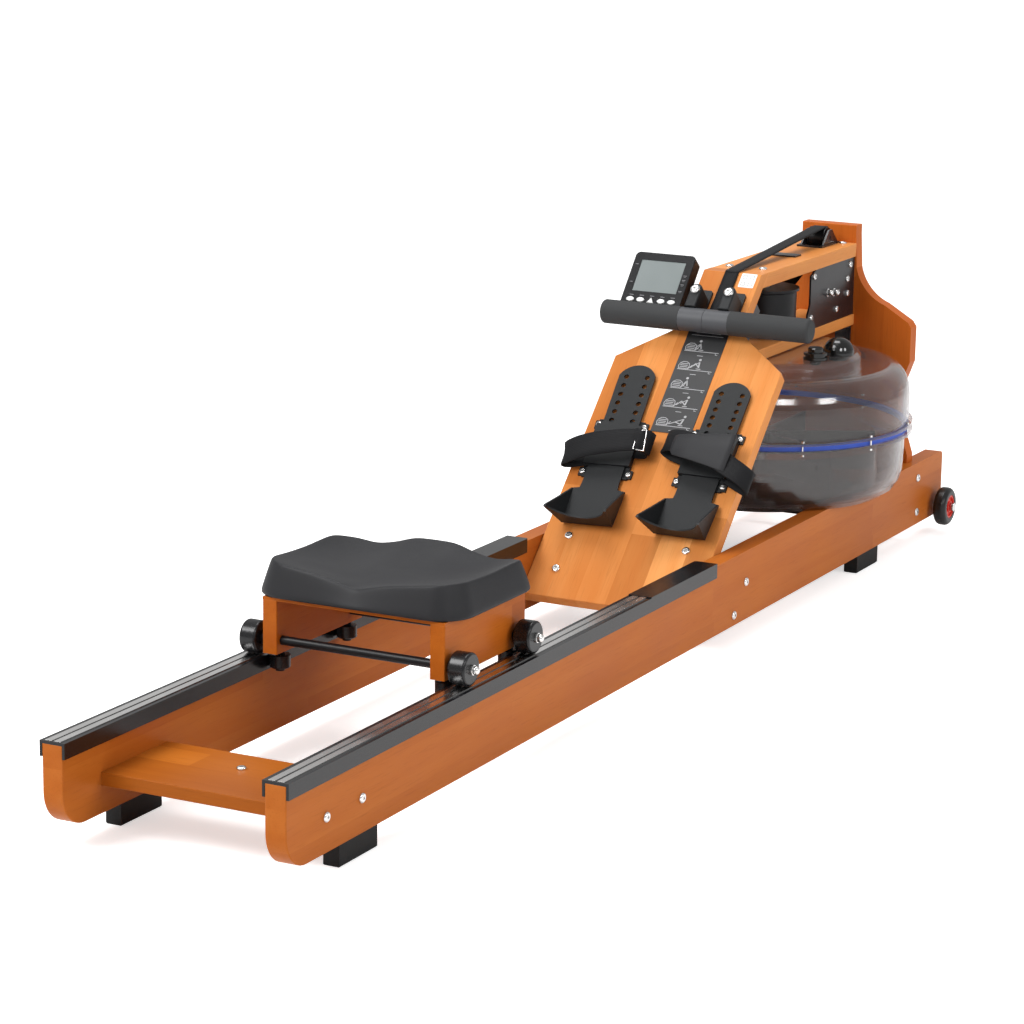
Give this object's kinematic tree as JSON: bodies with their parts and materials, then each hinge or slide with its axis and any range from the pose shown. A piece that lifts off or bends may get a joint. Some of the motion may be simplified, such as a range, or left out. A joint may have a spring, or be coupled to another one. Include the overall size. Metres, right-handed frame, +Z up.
{
  "type": "rowing machine",
  "caption": "Wooden-framed rowing machine with a rolling seat on two rails, sloping footboard with strapped pedals, pull handle and a round water tank.",
  "frame": {"origin": "on the floor, under the middle of the frame", "axes": "+X forwards from the seat to the tank, +Y to the rower's left, +Z up"},
  "size_m": [2.1, 0.476, 0.5164],
  "materials": {
    "honey_wood": "satin lacquer",
    "pale_wood": "satin lacquer",
    "gloss_black": "gloss",
    "black_plastic": "fine moulded texture",
    "polished_steel": "polished",
    "bolt_chrome": "polished",
    "rubber": "matte",
    "clear_smoke": "clear, slightly smoked",
    "blue_seal": "satin",
    "black_steel": "satin powder coat",
    "water": "clear",
    "webbing": "woven webbing",
    "plate_black": "printed, satin",
    "shaft_steel": "turned",
    "paddle_plastic": "moulded",
    "grip_foam": "closed-cell foam",
    "screen": "clear over grey-green display",
    "seat_foam": "moulded foam",
    "axle_steel": "black tube, bright nuts",
    "wheel_black": "turned nylon",
    "tyre": "rubber tread, red plastic hub",
    "button_white": "silicone"
  },
  "bodies": {
    "frame": {"rail_right": "honey_wood", "rail_left": "honey_wood", "track_covers": "gloss_black", "steel_tracks": "polished_steel", "end_caps": "gloss_black", "rubber_feet": "rubber", "rear_crossbar": "honey_wood", "footboard": "pale_wood", "crossmembers": "honey_wood", "fascia_board": "pale_wood", "upper_beam": "honey_wood", "lower_beam": "honey_wood", "front_panel": "honey_wood", "frame_bolts": "bolt_chrome", "tank_bowl": "clear_smoke", "tank_lid": "clear_smoke", "seal_ring": "blue_seal", "clamp_screws": "bolt_chrome", "tank_base": "black_steel", "bearing_housing": "black_plastic", "water": "water", "head_brackets": "black_steel", "pulley_bracket": "black_steel", "belt_run": "webbing", "handle_stops": "black_plastic", "console_arm": "black_plastic", "pedal_bases": "black_plastic", "foot_straps": "webbing", "instruction_plate": "plate_black"},
    "rotor": {"rotor_shaft": "shaft_steel", "belt_drum": "black_plastic", "paddle": "paddle_plastic"},
    "pulley": {"top_pulley": "black_plastic"},
    "handle": {"handle_bar": "black_plastic", "handle_grips": "grip_foam", "belt_free": "webbing"},
    "console": {"console_case": "black_plastic", "console_screen": "screen"},
    "seat": {"seat_pad": "seat_foam", "carriage_plate": "black_plastic", "carriage_side_left": "honey_wood", "carriage_side_right": "honey_wood", "seat_axles": "axle_steel"},
    "rear_wheels": {"rear_load_wheels": "wheel_black"},
    "front_wheels": {"front_load_wheels": "wheel_black"},
    "heel_left": {"heel_slider_left": "black_plastic"},
    "heel_right": {"heel_slider_right": "black_plastic"},
    "transport_left": {"transport_wheel_left": "tyre"},
    "transport_right": {"transport_wheel_right": "tyre"},
    "filler": {"filler_cap": "rubber"},
    "plug": {"level_plug": "rubber"},
    "button_1": {"console_button_1": "button_white"},
    "button_2": {"console_button_2": "button_white"},
    "button_3": {"console_button_3": "button_white"},
    "button_4": {"console_button_4": "button_white"},
    "button_5": {"console_button_5": "button_white"},
    "roller_rear_left": {"guide_roller_rear_left": "wheel_black"},
    "roller_rear_right": {"guide_roller_rear_right": "wheel_black"},
    "roller_front_left": {"guide_roller_front_left": "wheel_black"},
    "roller_front_right": {"guide_roller_front_right": "wheel_black"}
  },
  "joints": [
    {"name": "seat_slide", "type": "slide", "parent": "frame", "child": "seat", "axis": [1, 0, 0], "range_m": [-0.4, 0.3]},
    {"name": "rear_wheels_roll", "type": "hinge", "parent": "seat", "child": "rear_wheels", "pos_m": [-0.607, 0, 0.1593], "axis": [0, 1, 0], "range_deg": [-1080, 810]},
    {"name": "front_wheels_roll", "type": "hinge", "parent": "seat", "child": "front_wheels", "pos_m": [-0.433, 0, 0.1593], "axis": [0, 1, 0], "range_deg": [-1080, 810]},
    {"name": "roller_rear_left_roll", "type": "hinge", "parent": "seat", "child": "roller_rear_left", "pos_m": [-0.596, 0.1197, 0.129], "axis": [0, 0, 1], "range_deg": [-1710, 1285]},
    {"name": "roller_rear_right_roll", "type": "hinge", "parent": "seat", "child": "roller_rear_right", "pos_m": [-0.596, -0.1197, 0.129], "axis": [0, 0, 1], "range_deg": [-1285, 1710]},
    {"name": "roller_front_left_roll", "type": "hinge", "parent": "seat", "child": "roller_front_left", "pos_m": [-0.428, 0.1197, 0.129], "axis": [0, 0, 1], "range_deg": [-1710, 1285]},
    {"name": "roller_front_right_roll", "type": "hinge", "parent": "seat", "child": "roller_front_right", "pos_m": [-0.428, -0.1197, 0.129], "axis": [0, 0, 1], "range_deg": [-1285, 1710]},
    {"name": "handle_pull", "type": "slide", "parent": "frame", "child": "handle", "axis": [-0.9962, 0, 0.0872], "range_m": [0, 1.1], "stiffness_N_per_m": 12, "springref_m": -0.8, "deforming": ["belt_free"]},
    {"name": "rotor_spin", "type": "hinge", "parent": "frame", "child": "rotor", "pos_m": [0.66, 0, 0.2], "axis": [0, 0, 1], "range_deg": [-10, 1250]},
    {"name": "pulley_spin", "type": "hinge", "parent": "frame", "child": "pulley", "pos_m": [0.878, 0, 0.499], "axis": [0, 1, 0], "range_deg": [-3860, 10]},
    {"name": "console_tilt", "type": "hinge", "parent": "frame", "child": "console", "pos_m": [0.52275, 0.1105, 0.44957], "axis": [0, 1, 0], "range_deg": [-15, 15]},
    {"name": "button_1_press", "type": "slide", "parent": "console", "child": "button_1", "axis": [0.766, 0, -0.6428], "range_m": [0, 0.0012], "stiffness_N_per_m": 500, "springref_m": -0.0006},
    {"name": "button_2_press", "type": "slide", "parent": "console", "child": "button_2", "axis": [0.766, 0, -0.6428], "range_m": [0, 0.0012], "stiffness_N_per_m": 500, "springref_m": -0.0006},
    {"name": "button_3_press", "type": "slide", "parent": "console", "child": "button_3", "axis": [0.766, 0, -0.6428], "range_m": [0, 0.0012], "stiffness_N_per_m": 500, "springref_m": -0.0006},
    {"name": "button_4_press", "type": "slide", "parent": "console", "child": "button_4", "axis": [0.766, 0, -0.6428], "range_m": [0, 0.0012], "stiffness_N_per_m": 500, "springref_m": -0.0006},
    {"name": "button_5_press", "type": "slide", "parent": "console", "child": "button_5", "axis": [0.766, 0, -0.6428], "range_m": [0, 0.0012], "stiffness_N_per_m": 500, "springref_m": -0.0006},
    {"name": "heel_left_slide", "type": "slide", "parent": "frame", "child": "heel_left", "axis": [0.7065, 0.0419, 0.7065], "range_m": [-0.056, 0.014]},
    {"name": "heel_right_slide", "type": "slide", "parent": "frame", "child": "heel_right", "axis": [0.7071, 0, 0.7071], "range_m": [-0.056, 0.014]},
    {"name": "transport_left_spin", "type": "hinge", "parent": "frame", "child": "transport_left", "pos_m": [1.018, 0.184, 0.0465], "axis": [0, 1, 0], "continuous": true},
    {"name": "transport_right_spin", "type": "hinge", "parent": "frame", "child": "transport_right", "pos_m": [1.018, -0.184, 0.0465], "axis": [0, 1, 0], "continuous": true},
    {"name": "filler_cap_lift", "type": "slide", "parent": "frame", "child": "filler", "axis": [0, 0, 1], "range_m": [0, 0.012]},
    {"name": "level_plug_lift", "type": "slide", "parent": "frame", "child": "plug", "axis": [0, 0, 1], "range_m": [0, 0.012]}
  ],
  "couplings": [
    {"joint": "rear_wheels_roll", "follows": "seat_slide", "rad_per_m": 46.512},
    {"joint": "front_wheels_roll", "follows": "seat_slide", "rad_per_m": 46.512},
    {"joint": "roller_rear_left_roll", "follows": "seat_slide", "rad_per_m": 74.074},
    {"joint": "roller_rear_right_roll", "follows": "seat_slide", "rad_per_m": -74.074},
    {"joint": "roller_front_left_roll", "follows": "seat_slide", "rad_per_m": 74.074},
    {"joint": "roller_front_right_roll", "follows": "seat_slide", "rad_per_m": -74.074},
    {"joint": "rotor_spin", "follows": "handle_pull", "rad_per_m": 19.608},
    {"joint": "pulley_spin", "follows": "handle_pull", "rad_per_m": -60.976}
  ]
}
